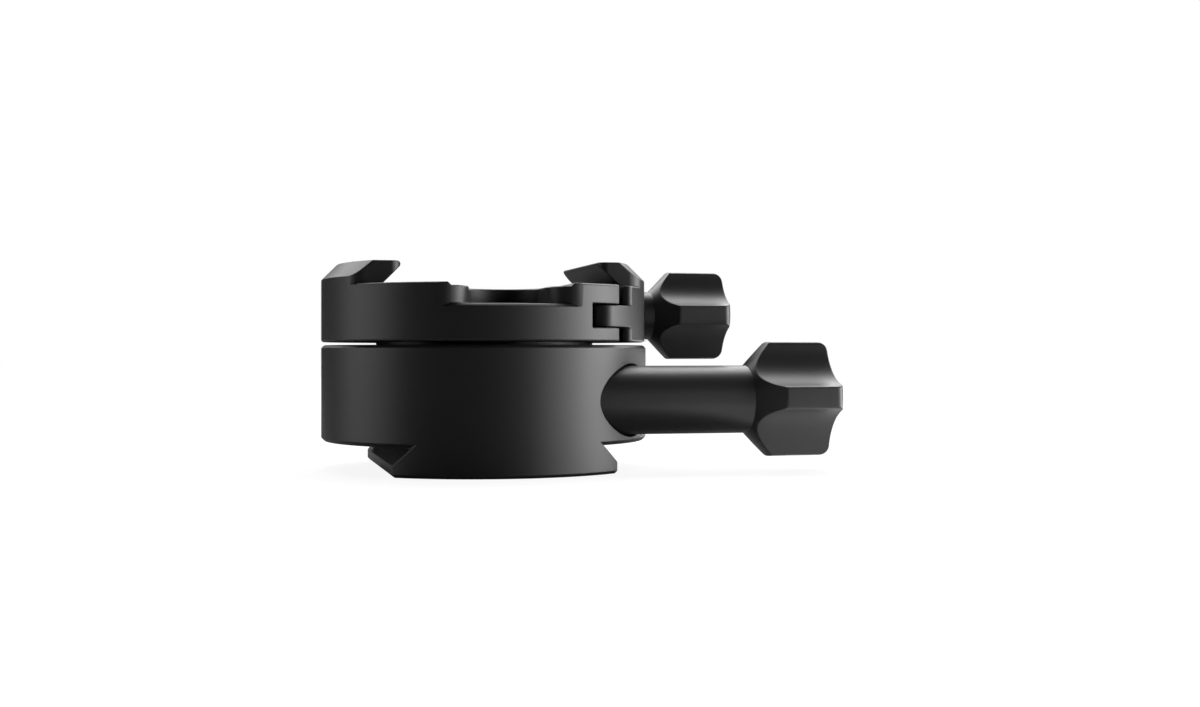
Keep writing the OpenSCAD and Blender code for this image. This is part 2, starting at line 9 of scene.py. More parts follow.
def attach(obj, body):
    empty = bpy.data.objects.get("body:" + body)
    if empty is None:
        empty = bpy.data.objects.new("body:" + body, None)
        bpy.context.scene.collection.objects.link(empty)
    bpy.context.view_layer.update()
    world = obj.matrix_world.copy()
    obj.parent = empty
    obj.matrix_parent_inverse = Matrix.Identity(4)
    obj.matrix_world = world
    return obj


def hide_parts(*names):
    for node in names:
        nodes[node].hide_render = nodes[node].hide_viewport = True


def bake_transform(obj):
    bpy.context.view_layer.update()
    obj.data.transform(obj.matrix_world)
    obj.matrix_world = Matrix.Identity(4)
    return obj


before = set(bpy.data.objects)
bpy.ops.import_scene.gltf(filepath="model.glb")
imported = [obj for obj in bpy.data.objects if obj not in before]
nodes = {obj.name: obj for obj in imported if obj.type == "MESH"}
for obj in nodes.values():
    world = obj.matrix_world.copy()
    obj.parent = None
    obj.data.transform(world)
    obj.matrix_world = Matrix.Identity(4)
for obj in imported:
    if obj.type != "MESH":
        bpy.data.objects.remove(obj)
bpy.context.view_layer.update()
mm = 0.001  # CAD sizes below are written in millimetres
tiny = 1e-6
print("frame loaded with", len(nodes), "nodes")


# Camera: looks level at the object from a little to the left of its front
camera = {
    "place": (-0.0446, -0.2629, 0.0203),
    "turn": -14.1,  # degrees about Z from looking along +Y
    "lens": 44.214,
    "sensor": 36,
    "clip": (0.01, 20),
}


def makeCamera(settings):
    data = bpy.data.cameras.new("camera")
    data.lens = settings["lens"]
    data.sensor_width = settings["sensor"]
    data.clip_start, data.clip_end = settings["clip"]
    made = bpy.data.objects.new("camera", data)
    made.location = settings["place"]
    made.rotation_euler = (math.radians(90), 0, math.radians(settings["turn"]))
    bpy.context.scene.collection.objects.link(made)
    bpy.context.scene.camera = made


makeCamera(camera)
print("camera placed")


# Small helpers for both kinds of node tree
def addNode(tree, kind, **values):
    node = tree.nodes.new(kind)
    for key, value in values.items():
        setattr(node, key, value)
    return node


def feed(tree, socket, value):
    if isinstance(value, bpy.types.NodeSocket):
        tree.links.new(value, socket)
    else:
        socket.default_value = value


def feedInOrder(tree, node, values):
    for socket, value in zip(node.inputs, values):
        feed(tree, socket, value)
    return node


def calc(tree, operation, *values):
    return feedInOrder(tree, addNode(tree, "ShaderNodeMath", operation=operation), values).outputs[0]


def squared(tree, value):
    return calc(tree, "MULTIPLY", value, value)


def vectorCalc(tree, operation, *values):
    return feedInOrder(tree, addNode(tree, "ShaderNodeVectorMath", operation=operation), values)


def combine(tree, *values):
    return feedInOrder(tree, addNode(tree, "ShaderNodeCombineXYZ"), values).outputs[0]


def addShader(tree, kind, **values):
    node = addNode(tree, kind)
    for key, value in values.items():
        feed(tree, node.inputs[key], value)
    return node.outputs[0]


def mixShaders(tree, *values):
    return feedInOrder(tree, addNode(tree, "ShaderNodeMixShader"), values).outputs[0]


# Gives a tree its sockets, as (name, kind, default) and (name, kind), and its first and last node
def openTree(tree, inputs, outputs):
    for name, kind, value in inputs:
        socket = tree.interface.new_socket(name=name, in_out="INPUT", socket_type="NodeSocket" + kind)
        if value is not None:
            socket.default_value = value
    for name, kind in outputs:
        tree.interface.new_socket(name=name, in_out="OUTPUT", socket_type="NodeSocket" + kind)
    return addNode(tree, "NodeGroupInput"), addNode(tree, "NodeGroupOutput")


# Shader groups: each puts out values that change over the surface
surfaceOutputs = [("Color", "Color"), ("Roughness", "Float"), ("Normal", "Vector")]
noise = {
    "grainDetail": 1.5,
    "driftScale": 55, "driftDetail": 3,  # slow drift of the blasting and the dye
    "markDetail": 1, "markTone": 0.2,
    "bump": 0.01,  # millimetres
}


def addNoise(tree, place, scale, detail):
    made = addNode(tree, "ShaderNodeTexNoise")
    feed(tree, made.inputs["Vector"], place)
    feed(tree, made.inputs["Scale"], scale)
    feed(tree, made.inputs["Detail"], detail)
    return made.outputs["Fac"]


# Ends a group: the tone scales the colour, and the height makes a bump of the given depth
def endSurface(tree, start, end, tone, gloss, height, depth):
    bump = addNode(tree, "ShaderNodeBump")
    feed(tree, bump.inputs["Strength"], depth)
    feed(tree, bump.inputs["Distance"], noise["bump"] * mm)
    feed(tree, bump.inputs["Height"], height)
    scale = addNode(tree, "ShaderNodeVectorMath", operation="SCALE")
    feed(tree, scale.inputs[0], start.outputs["Color"])
    feed(tree, scale.inputs["Scale"], tone)
    feed(tree, end.inputs["Color"], scale.outputs["Vector"])
    feed(tree, end.inputs["Roughness"], gloss)
    feed(tree, end.inputs["Normal"], bump.outputs["Normal"])
    return tree


def makeBlastGroup():
    tree = bpy.data.node_groups.new("beadBlast", "ShaderNodeTree")
    start, end = openTree(
        tree,
        [
            ("Color", "Color", (0.02, 0.02, 0.02, 1)),
            ("Roughness", "Float", 0.45),
            ("Grain Size", "Float", 0.12),  # millimetres
            ("Grain Depth", "Float", 0.2),
            ("Tone Spread", "Float", 0.1),
            ("Gloss Spread", "Float", 0.04),
        ],
        surfaceOutputs,
    )
    place = addNode(tree, "ShaderNodeTexCoord").outputs["Object"]
    grainScale = calc(tree, "DIVIDE", 1 / mm, start.outputs["Grain Size"])
    grain = addNoise(tree, place, grainScale, noise["grainDetail"])
    drift = addNoise(tree, place, noise["driftScale"], noise["driftDetail"])
    change = calc(tree, "ADD", calc(tree, "SUBTRACT", drift, 0.5), calc(tree, "SUBTRACT", grain, 0.5))
    gloss = calc(tree, "MULTIPLY_ADD", change, start.outputs["Gloss Spread"], start.outputs["Roughness"])
    tone = calc(tree, "MULTIPLY_ADD", change, start.outputs["Tone Spread"], 1)
    return endSurface(tree, start, end, tone, gloss, grain, start.outputs["Grain Depth"])


def makeTurnedGroup():
    tree = bpy.data.node_groups.new("turnedMarks", "ShaderNodeTree")
    start, end = openTree(
        tree,
        [
            ("Color", "Color", (0.5, 0.5, 0.5, 1)),
            ("Roughness", "Float", 0.3),
            ("Axis", "Vector", (0, 0, 1)),
            ("Centre", "Vector", (0, 0, 0)),
            ("Feed", "Float", 0.1),  # millimetres between two marks
            ("Depth", "Float", 0.2),
            ("Gloss Spread", "Float", 0.1),
        ],
        surfaceOutputs,
    )
    place = addNode(tree, "ShaderNodeTexCoord").outputs["Object"]
    offset = vectorCalc(tree, "SUBTRACT", place, start.outputs["Centre"]).outputs["Vector"]
    along = vectorCalc(tree, "DOT_PRODUCT", offset, start.outputs["Axis"]).outputs["Value"]
    across = vectorCalc(tree, "CROSS_PRODUCT", offset, start.outputs["Axis"]).outputs["Vector"]
    radius = vectorCalc(tree, "LENGTH", across).outputs["Value"]
    markScale = calc(tree, "DIVIDE", 1 / mm, start.outputs["Feed"])
    marks = addNoise(tree, combine(tree, along, radius), markScale, noise["markDetail"])
    change = calc(tree, "SUBTRACT", marks, 0.5)
    gloss = calc(tree, "MULTIPLY_ADD", change, start.outputs["Gloss Spread"], start.outputs["Roughness"])
    tone = calc(tree, "MULTIPLY_ADD", change, noise["markTone"], 1)
    return endSurface(tree, start, end, tone, gloss, marks, start.outputs["Depth"])


blastGroup = makeBlastGroup()
turnedGroup = makeTurnedGroup()


def makeMaterial(name, group, finish, shader):
    made = bpy.data.materials.new(name)
    made.use_nodes = True
    tree = made.node_tree
    principled = tree.nodes["Principled BSDF"]
    for key, value in shader.items():
        principled.inputs[key].default_value = value
    effect = addNode(tree, "ShaderNodeGroup", node_tree=group)
    for key, value in finish.items():
        effect.inputs[key].default_value = value
    tree.links.new(effect.outputs["Color"], principled.inputs["Base Color"])
    tree.links.new(effect.outputs["Roughness"], principled.inputs["Roughness"])
    tree.links.new(effect.outputs["Normal"], principled.inputs["Normal"])
    return made


def rgb(value, tint=1.0):
    return (value, value, value * tint, 1)


# Each finish: its group, the group's inputs and the shader's own values
finishes = {
    "anodised": (blastGroup, {"Color": rgb(0.007), "Roughness": 0.45, "Grain Depth": 0.12}, {"IOR": 1.5}),
    "anodisedKnobs": (blastGroup, {"Color": rgb(0.009), "Roughness": 0.42, "Grain Depth": 0.12}, {"IOR": 1.5}),
    "turnedBlack": (turnedGroup, {"Color": rgb(0.012), "Roughness": 0.38, "Depth": 0.15}, {"IOR": 1.5}),
    "turnedSteel": (turnedGroup, {"Color": rgb(0.55, 1.02), "Roughness": 0.32}, {"Metallic": 1}),
    "boltSteel": (turnedGroup, {"Color": rgb(0.02), "Roughness": 0.35}, {"IOR": 1.6}),
    "springSteel": (blastGroup, {"Color": rgb(0.5), "Roughness": 0.28, "Grain Size": 0.3}, {"Metallic": 1}),
    "slipPlastic": (blastGroup, {"Color": (0.8, 0.79, 0.75, 1), "Roughness": 0.5, "Tone Spread": 0.04},
                    {"IOR": 1.4}),
    "turnedBrass": (turnedGroup, {"Color": (0.6, 0.42, 0.16, 1), "Roughness": 0.33, "Axis": (1, 0, 0)},
                    {"Metallic": 1}),
    "blackRubber": (blastGroup, {"Color": rgb(0.015), "Roughness": 0.65, "Grain Size": 0.2}, {"IOR": 1.45}),
}
materials = {name: makeMaterial(name, *parts) for name, parts in finishes.items()}
print("materials:", len(materials))


def dress(piece, material):
    piece.data.materials.clear()
    piece.data.materials.append(materials[material])


dressedNodes = {
    "base_body": "anodised", "clamp_body": "anodised", "moving_jaw": "anodised",
    "clamp_knob": "anodisedKnobs", "lock_knob": "anodisedKnobs",
    "rotor": "turnedBlack", "retaining_ring": "turnedBlack",
    "tripod_insert": "turnedSteel", "dowel_pins": "turnedSteel", "thread_bush": "turnedSteel",
    "clamp_stud": "turnedSteel", "lock_stud": "turnedSteel", "jaw_spring": "springSteel",
    "insert_set_screw": "boltSteel", "ring_set_screw": "boltSteel", "mount_screws": "boltSteel",
    "stud_clip": "boltSteel", "knob_washer": "turnedBrass", "outer_cotter": "turnedBrass",
    "inner_cotter": "turnedBrass", "lower_thrust_washer": "slipPlastic",
    "upper_thrust_washer": "slipPlastic", "shaft_o_ring": "blackRubber",
}
for name, material in dressedNodes.items():
    dress(nodes[name], material)
print("nodes dressed")


# Makes an object of a plain mesh, rides it on its body, if it has one, and stands it for its nodes
def addPiece(name, mesh, body, slot, material, *replaced):
    piece = bpy.data.objects.new(name, mesh)
    bpy.context.scene.collection.objects.link(piece)
    dress(piece, material)
    if body:
        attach(piece, body)
    if replaced:
        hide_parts(*replaced)
    return piece


def shadeByAngle(mesh, degrees):
    mesh.polygons.foreach_set("use_smooth", [True] * len(mesh.polygons))
    mesh.set_sharp_from_angle(angle=math.radians(degrees))


# Turns an object with modifiers into a plain mesh and removes the object
def plainMesh(holder, name):
    bpy.context.view_layer.update()
    mesh = bpy.data.meshes.new_from_object(holder.evaluated_get(bpy.context.evaluated_depsgraph_get()))
    mesh.name = name
    old = holder.data
    bpy.data.objects.remove(holder)
    if old.users == 0:
        bpy.data.meshes.remove(old)
    return mesh


# Rounding of the machined pieces' edges, in millimetres and degrees
rounding = {
    "flat": 0.5,  # least angle between two faces that stay apart
    "segments": 2,
    "passes": 4, "leastCorners": 5, "reach": 20, "loop": 0.8,  # search for small loops in a face's outline
    "together": 24,  # widest angle between faces that share a normal
    "offTurned": 0.04, "level": 0.01, "facing": 0.99,  # what counts as lying on a turned face
    "share": 2,  # side of the largest area that a face counts with
}
stripSlot = 1  # material slot that marks the rounded strips until their normals are set


# The node's mesh with its triangles merged and flat regions joined
def mergedMesh(name):
    work = bmesh.new()
    work.from_mesh(nodes[name].data)
    bmesh.ops.remove_doubles(work, verts=work.verts, dist=tiny)
    apart = math.radians(rounding["flat"])
    bmesh.ops.dissolve_limit(work, angle_limit=apart, verts=work.verts, edges=work.edges)
    return work


# How widely an edge is rounded; a square edge inside one of the special boxes gets that box's width
def edgeWidth(e, settings):
    turn = math.degrees(e.calc_face_angle())
    if turn < settings["sharp"]:
        return 0
    # Fades out where an edge flattens, so that a strip ends in a point
    grade = min((turn - settings["sharp"]) / (settings["square"] - settings["sharp"]), 1)
    width = settings["soft"] * grade
    for box in settings["special"]:
        inside = all(
            low * mm <= v.co[k] <= high * mm
            for v in e.verts for k, (low, high) in enumerate(zip(box["low"], box["high"]))
        )
        if inside and turn > settings["square"]:
            width = box["width"]
    return width


# The node's mesh with its sharp edges rounded
def softened(name, settings):
    work = mergedMesh(name)
    layer = work.edges.layers.float.new("bevel_weight_edge")
    widest = max([settings["soft"]] + [box["width"] for box in settings["special"]])
    for e in work.edges:
        if len(e.link_faces) == 2:
            e[layer] = edgeWidth(e, settings) / widest
    mesh = bpy.data.meshes.new(name + "_soft")
    work.to_mesh(mesh)
    work.free()
    for slot in range(stripSlot + 1):
        mesh.materials.append(None)
    mesh.polygons.foreach_set("use_smooth", [True] * len(mesh.polygons))
    holder = bpy.data.objects.new(name + "_holder", mesh)
    bpy.context.scene.collection.objects.link(holder)
    bevel = holder.modifiers.new("rounding", "BEVEL")
    bevel.limit_method = "WEIGHT"
    bevel.offset_type = "OFFSET"
    bevel.width = widest * mm
    bevel.segments = rounding["segments"]
    bevel.use_clamp_overlap = False
    bevel.material = stripSlot
    made = plainMesh(holder, name + "_mesh")
    unfold(made)
    settleNormals(made, settings["turnedRadii"])
    return made


# Where a strip is wider than a curve's short steps, a flat face's outline may cross itself in a
# small loop. Its corners are joined in one point.
def joinLoops(f, joined):
    corners = [corner.vert for corner in f.loops]
    count = len(corners)
    across = f.normal.orthogonal().normalized()
    along = f.normal.cross(across)
    flat = [Vector((v.co.dot(across), v.co.dot(along))) for v in corners]
    for reach in range(2, min(rounding["reach"], count - 1)):
        for k in range(count):
            far = (k + reach) % count
            one, other = (flat[k], flat[(k + 1) % count]), (flat[far], flat[(far + 1) % count])
            if not intersect_line_line_2d(*one, *other):
                continue
            loop = [corners[(k + 1 + step) % count] for step in range(reach)]
            middle = sum((v.co for v in loop), Vector()) / reach
            small = all((v.co - middle).length < rounding["loop"] * mm for v in loop)
            if small and not set(loop) & (joined.keys() | set(joined.values())):
                loop[0].co = middle
                joined.update((v, loop[0]) for v in loop[1:])


def unfold(mesh):
    work = bmesh.new()
    work.from_mesh(mesh)
    for attempt in range(rounding["passes"]):
        joined = {}
        for f in work.faces:
            if f.material_index != stripSlot and len(f.verts) >= rounding["leastCorners"]:
                joinLoops(f, joined)
        if not joined:
            break
        bmesh.ops.weld_verts(work, targetmap=joined)
        work.normal_update()
    bmesh.ops.dissolve_degenerate(work, dist=tiny, edges=work.edges)
    work.to_mesh(mesh)
    work.free()


# Keeps flat faces flat and turned faces round, so that only the strips along the edges bend the light
def settleNormals(mesh, turnedRadii):
    strip = [p.material_index == stripSlot for p in mesh.polygons]
    around = [[] for v in mesh.vertices]
    for p in mesh.polygons:
        for v in p.vertices:
            around[v].append(p.index)
    limit = math.cos(math.radians(rounding["together"]))
    largest = (rounding["share"] * mm) ** 2
    settled = {}
    for p in mesh.polygons:
        if strip[p.index]:
            continue
        for v in p.vertices:
            co = mesh.vertices[v].co
            flatR = math.hypot(co.x, co.y)
            out = Vector((co.x, co.y, 0)).normalized()
            onTurned = any(abs(flatR - r * mm) < rounding["offTurned"] * mm for r in turnedRadii)
            if onTurned and abs(p.normal.z) < rounding["level"] and p.normal.dot(out) > rounding["facing"]:
                settled[p.index, v] = out
                continue
            total = Vector((0, 0, 0))
            for n in around[v]:
                near = mesh.polygons[n]
                if not strip[n] and near.normal.dot(p.normal) > limit:
                    total += near.normal * min(near.area, largest)
            settled[p.index, v] = total.normalized()
    normals = [None] * len(mesh.loops)
    for p in mesh.polygons:
        for k in p.loop_indices:
            v = mesh.loops[k].vertex_index
            if not strip[p.index]:
                normals[k] = settled[p.index, v]
                continue
            flats = [n for n in around[v] if not strip[n]]
            if flats:
                best = max(flats, key=lambda n: mesh.polygons[n].normal.dot(p.normal))
                normals[k] = settled[best, v]
            else:
                total = Vector((0, 0, 0))
                for n in around[v]:
                    total += mesh.polygons[n].normal * mesh.polygons[n].area
                normals[k] = total.normalized()
    mesh.normals_split_custom_set(normals)
    mesh.materials.clear()


# Widths in millimetres; sharp and square are the least angles, in degrees, between two faces
shells = {
    "base_shell": {
        "node": "base_body", "body": "base", "soft": 0.2, "sharp": 8, "square": 60,
        "turnedRadii": [29],
        "special": [
            {"low": (10, -26, 5), "high": (29.5, -11, 19.6), "width": 0.08},  # mouth of the lock's bore
        ],
    },
    "clamp_ring": {
        "node": "clamp_body", "body": "pan", "soft": 0.2, "sharp": 8, "square": 60,
        "turnedRadii": [29],
        "special": [
            {"low": (-9.9, -26, 31.3), "high": (9.9, -11.3, 31.5), "width": 0.34},  # near notch
            {"low": (-9.9, 11.3, 31.3), "high": (9.9, 26, 31.5), "width": 0.34},  # far notch
            {"low": (5.3, -4, 22.35), "high": (12.5, 4, 31.2), "width": 0},  # inside of the spring's seat
        ],
    },
    "jaw_block": {
        "node": "moving_jaw", "body": "jaw", "soft": 0.2, "sharp": 8, "square": 60,
        "turnedRadii": [28.75], "special": [],
    },
}
for name, settings in shells.items():
    addPiece(name, softened(settings["node"], settings), settings["body"], "black_anodised", "anodised",
             settings["node"])
print("shells softened")


# Faces between rings of as many vertices each
def skin(work, rings):
    count = len(rings[0])
    for low, high in zip(rings, rings[1:]):
        for k in range(count):
            n = (k + 1) % count
            work.faces.new((low[k], low[n], high[n], high[k]))


# A mesh turned about X from a profile of (x, radius) in millimetres at the given angles in degrees
def turnedMesh(profile, angles):
    mesh = bpy.data.meshes.new("turned")
    work = bmesh.new()
    around = [(math.cos(math.radians(a)), math.sin(math.radians(a))) for a in angles]
    skin(work, [
        [work.verts.new((x * mm, radius * mm * c, radius * mm * s)) for c, s in around]
        for x, radius in profile
    ])
    work.to_mesh(mesh)
    work.free()
    return mesh


# Ends a geometry tree: instances made real and the material set
def endGeometry(tree, start, end, geometry):
    realize = addNode(tree, "GeometryNodeRealizeInstances")
    feed(tree, realize.inputs[0], geometry)
    paint = addNode(tree, "GeometryNodeSetMaterial")
    feed(tree, paint.inputs["Geometry"], realize.outputs[0])
    feed(tree, paint.inputs["Material"], start.outputs["Material"])
    feed(tree, end.inputs[0], paint.outputs[0])
    return tree


# Flutes: the radial distance of each point from the X axis is cut down to the flutes' circles
def makeFluteTree():
    tree = bpy.data.node_groups.new("carveFlutes", "GeometryNodeTree")
    tree.is_modifier = True
    start, end = openTree(
        tree,
        [
            ("Geometry", "Geometry", None),
            ("Lobes", "Int", 4),
            ("Flute Centre", "Float", 0.014),
            ("Flute Radius", "Float", 0.009),
            ("Outer Radius", "Float", 0.01),
            ("Softness", "Float", 0.0003),
            ("Crispness", "Float", 0.00015),
            ("End", "Float", 0.044),
            ("End Rounding", "Float", 0.0002),
            ("Material", "Material", None),
        ],
        [("Geometry", "Geometry")],
    )
    centre, curlR = start.outputs["Flute Centre"], start.outputs["End Rounding"]
    split = addNode(tree, "ShaderNodeSeparateXYZ")
    feed(tree, split.inputs[0], addNode(tree, "GeometryNodeInputPosition").outputs[0])
    x, y, z = split.outputs
    radius = calc(tree, "SQRT", calc(tree, "ADD", squared(tree, y), squared(tree, z)))
    half = calc(tree, "DIVIDE", math.pi, start.outputs["Lobes"])
    local = calc(tree, "WRAP", calc(tree, "ARCTAN2", z, y), half, calc(tree, "MULTIPLY", half, -1))
    away = calc(tree, "SUBTRACT", half, calc(tree, "ABSOLUTE", local))  # angle from the flute's middle
    side = calc(tree, "MULTIPLY", centre, calc(tree, "SINE", away))
    reach = calc(tree, "SUBTRACT", squared(tree, start.outputs["Flute Radius"]), squared(tree, side))
    depth = calc(tree, "SQRT", calc(tree, "MAXIMUM", reach, 0))
    flute = calc(tree, "SUBTRACT", calc(tree, "MULTIPLY", centre, calc(tree, "COSINE", away)), depth)
    # The flute's last stretch curls in by a quarter round
    past = calc(tree, "ADD", calc(tree, "SUBTRACT", x, start.outputs["End"]), curlR)
    past = calc(tree, "MAXIMUM", past, 0)
    rise = calc(tree, "SUBTRACT", squared(tree, curlR), squared(tree, past))
    curl = calc(tree, "SUBTRACT", curlR, calc(tree, "SQRT", calc(tree, "MAXIMUM", rise, 0)))
    flute = calc(tree, "SUBTRACT", flute, curl)
    # The lobes' long edges are rounder than the edges that the flutes cut into the cone
    lobed = calc(tree, "SMOOTH_MIN", start.outputs["Outer Radius"], flute, start.outputs["Softness"])
    cut = calc(tree, "SMOOTH_MIN", radius, lobed, start.outputs["Crispness"])
    factor = calc(tree, "DIVIDE", cut, radius)
    move = addNode(tree, "GeometryNodeSetPosition")
    feed(tree, move.inputs["Geometry"], start.outputs["Geometry"])
    feed(tree, move.inputs["Position"],
         combine(tree, x, calc(tree, "MULTIPLY", y, factor), calc(tree, "MULTIPLY", z, factor)))
    return endGeometry(tree, start, end, move.outputs[0])


# Runs a mesh through a geometry tree with the named inputs and returns the plain result
def grown(mesh, tree, name, **inputs):
    holder = bpy.data.objects.new(name + "_holder", mesh)
    bpy.context.scene.collection.objects.link(holder)
    modifier = holder.modifiers.new("grow", "NODES")
    modifier.node_group = tree
    sockets = {s.name: s.identifier for s in tree.interface.items_tree if s.in_out == "INPUT"}
    for key, value in inputs.items():
        modifier[sockets[key.replace("_", " ")]] = value
    return plainMesh(holder, name)


fluteTree = makeFluteTree()

# Steps of a knob's mesh: over a lobe, its edge and a flute, then along the cone, the grip and the
# rounded end. The edge's steps reach from beforeEdge to afterEdge degrees about it.
knobSteps = {
    "lobe": 10, "edge": 24, "flute": 18, "beforeEdge": 6, "afterEdge": 8,
    "cone": 52, "grip": 24, "end": 14,
}


def spaced(start, end, count):
    return [start + (end - start) * k / count for k in range(count)]


def lobeAngles(settings):
    half = 180 / settings["lobes"]
    edge = math.degrees(math.asin(settings["lobeWidth"] / 2 / settings["radius"]))
    low, high = edge - knobSteps["beforeEdge"], edge + knobSteps["afterEdge"]
    sector = spaced(0, low, knobSteps["lobe"])
    sector += spaced(low, high, knobSteps["edge"])
    sector += spaced(high, half, knobSteps["flute"])
    mirrored = sector + [half] + [2 * half - a for a in reversed(sector[1:])]
    return [a + 2 * half * k for k in range(settings["lobes"]) for a in mirrored]


def arc(cx, cr, radius, start, end, count):
    return [
        (cx + radius * math.cos(math.radians(a)), cr + radius * math.sin(math.radians(a)))
        for a in spaced(start, end, count) + [end]
    ]


def line(a, b, count):
    return [(a[0] + (b[0] - a[0]) * t, a[1] + (b[1] - a[1]) * t) for t in spaced(0, 1, count)]


def lobedKnob(settings):
    r, stem, waist = settings["radius"], settings["stem"], settings["waist"]
    coneEnd = settings["coneStart"] + r - stem
    end = coneEnd + settings["grip"]
    roundR = settings["endRounding"]
    half = math.radians(180 / settings["lobes"]) - math.asin(settings["lobeWidth"] / 2 / r)
    dip, chord = r * math.cos(half) - waist, r * math.sin(half)
    fluteR = (chord * chord + dip * dip) / (2 * dip)
    profile = settings["start"] + line((settings["coneStart"], stem), (coneEnd, r), knobSteps["cone"])
    profile += line((coneEnd, r), (end - roundR, r), knobSteps["grip"])
    profile += arc(end - roundR, r - roundR, roundR, 90, 0, knobSteps["end"])
    mesh = grown(
        turnedMesh(profile, lobeAngles(settings)), fluteTree, settings["name"] + "_mesh",
        Lobes=settings["lobes"], Flute_Centre=(waist + fluteR) * mm, Flute_Radius=fluteR * mm,
        Outer_Radius=r * mm, Softness=settings["softness"] * mm, Crispness=settings["crispness"] * mm,
        End=end * mm, End_Rounding=settings["edge"] * mm, Material=materials["anodisedKnobs"],
    )
    # Closes the inner and then the outer end
    work = bmesh.new()
    work.from_mesh(mesh)
    for outer in (False, True):
        loop = [e for e in work.edges if e.is_boundary and (e.verts[0].co.x > coneEnd * mm) == outer]
        hub = work.verts.new((sum(e.verts[0].co.x for e in loop) / len(loop), 0, 0))
        for e in loop:
            work.faces.new((e.verts[0], e.verts[1], hub))
    bmesh.ops.recalc_face_normals(work, faces=work.faces)
    work.to_mesh(mesh)
    work.free()
    turn = Matrix.Rotation(math.radians(settings["turn"]), 4, "X")
    mesh.transform(Matrix.Translation(Vector(settings["place"]) * mm) @ turn)
    shadeByAngle(mesh, settings["smooth"])
    return mesh


clampKnob = {
    "name": "clamp_grip", "place": (0, 0, 27.3), "start": [(28.65, 4.25), (28.8, 4.4)],
    "stem": 4.4, "coneStart": 30.65, "radius": 8.05, "grip": 10.05, "waist": 5.6, "lobeWidth": 3.4,
    "lobes": 4, "softness": 0.35, "crispness": 0.16, "endRounding": 1.5, "edge": 0.2, "turn": 0,
    "smooth": 40,
}
addPiece("clamp_grip", lobedKnob(clampKnob), "clamp_knob", "black_anodised_knobs", "anodisedKnobs", "clamp_knob")

# The lock knob starts with its shaft and the groove of the rubber ring
lockKnob = {
    "name": "lock_grip", "place": (0, -18.3, 12.3),
    "start": [(10.3, 5.9), (11.68, 5.9), (11.7, 5.0), (13.1, 5.0), (13.12, 5.9), (28, 5.9)],
    "stem": 5.9, "coneStart": 42.95, "radius": 10.05, "grip": 10.7, "waist": 6.55, "lobeWidth": 3.8,
    "lobes": 4, "softness": 1.2, "crispness": 0.16, "endRounding": 1.5, "edge": 0.25, "turn": -2.9,
    "smooth": 40,
}
addPiece("lock_grip", lobedKnob(lockKnob), "lock_knob", "black_anodised_knobs", "anodisedKnobs", "lock_knob")
print("knobs carved")


# Screws: one socket-head screw, set out on a square grid
def socketScrew(settings):
    sides, edge, neck = settings["sides"], settings["edge"], settings["neck"]
    headR, shankR, keyR = settings["head"] / 2, settings["shank"] / 2, settings["key"] / 2
    top, tip = settings["headHeight"], -settings["length"]
    keyFloor = top - settings["keyDepth"]
    key = [keyR / math.cos(math.radians((360 * k / sides + 30) % 60 - 30)) for k in range(sides)]

    def ring(radius):
        return [radius] * sides

    sections = [
        (tip, ring(shankR - settings["tip"])), (tip + settings["tip"], ring(shankR)),
        (-neck, ring(shankR)), (0, ring(shankR + neck)),
        (0, ring(headR - edge)), (edge, ring(headR)), (top - edge, ring(headR)),
    ]
    for k in range(settings["edgeSteps"]):
        a = math.radians(90 * (k + 1) / settings["edgeSteps"])
        sections.append((top - edge + edge * math.sin(a), ring(headR - edge + edge * math.cos(a))))
    sections += [
        (top, [r + settings["keyLip"] for r in key]), (top - settings["keyLipDepth"], key),
        (keyFloor, key), (keyFloor, ring(keyR * settings["drill"])),
    ]
    around = [(math.cos(math.tau * k / sides), math.sin(math.tau * k / sides)) for k in range(sides)]
    work = bmesh.new()
    rings = [
        [work.verts.new((r * mm * c, r * mm * s, z * mm)) for r, (c, s) in zip(radii, around)]
        for z, radii in sections
    ]
    skin(work, rings)
    for loop, depth in ((rings[0], tip), (rings[-1], keyFloor - keyR * settings["drillPoint"])):
        hub = work.verts.new((0, 0, depth * mm))
        for k in range(sides):
            work.faces.new((loop[k], loop[(k + 1) % sides], hub))
    bmesh.ops.recalc_face_normals(work, faces=work.faces)
    mesh = bpy.data.meshes.new("screw")
    work.to_mesh(mesh)
    work.free()
    shadeByAngle(mesh, settings["smooth"])
    return mesh


def makeGridTree():
    tree = bpy.data.node_groups.new("setOutOnGrid", "GeometryNodeTree")
    tree.is_modifier = True
    start, end = openTree(
        tree,
        [
            ("Geometry", "Geometry", None),
            ("Columns", "Int", 2),
            ("Rows", "Int", 2),
            ("Width", "Float", 0.02),
            ("Length", "Float", 0.02),
            ("Height", "Float", 0),
            ("Turn Step", "Float", 0.4),
            ("Material", "Material", None),
        ],
        [("Geometry", "Geometry")],
    )
    grid = addNode(tree, "GeometryNodeMeshGrid")
    feedInOrder(tree, grid, [start.outputs[name] for name in ("Width", "Length", "Columns", "Rows")])
    raised = addNode(tree, "GeometryNodeSetPosition")
    feed(tree, raised.inputs["Geometry"], grid.outputs["Mesh"])
    feed(tree, raised.inputs["Offset"], combine(tree, 0, 0, start.outputs["Height"]))
    count = addNode(tree, "GeometryNodeInputIndex").outputs[0]
    copies = addNode(tree, "GeometryNodeInstanceOnPoints")
    feed(tree, copies.inputs["Points"], raised.outputs[0])
    feed(tree, copies.inputs["Instance"], start.outputs["Geometry"])
    feed(tree, copies.inputs["Rotation"],
         combine(tree, 0, 0, calc(tree, "MULTIPLY", count, start.outputs["Turn Step"])))
    return endGeometry(tree, start, end, copies.outputs[0])


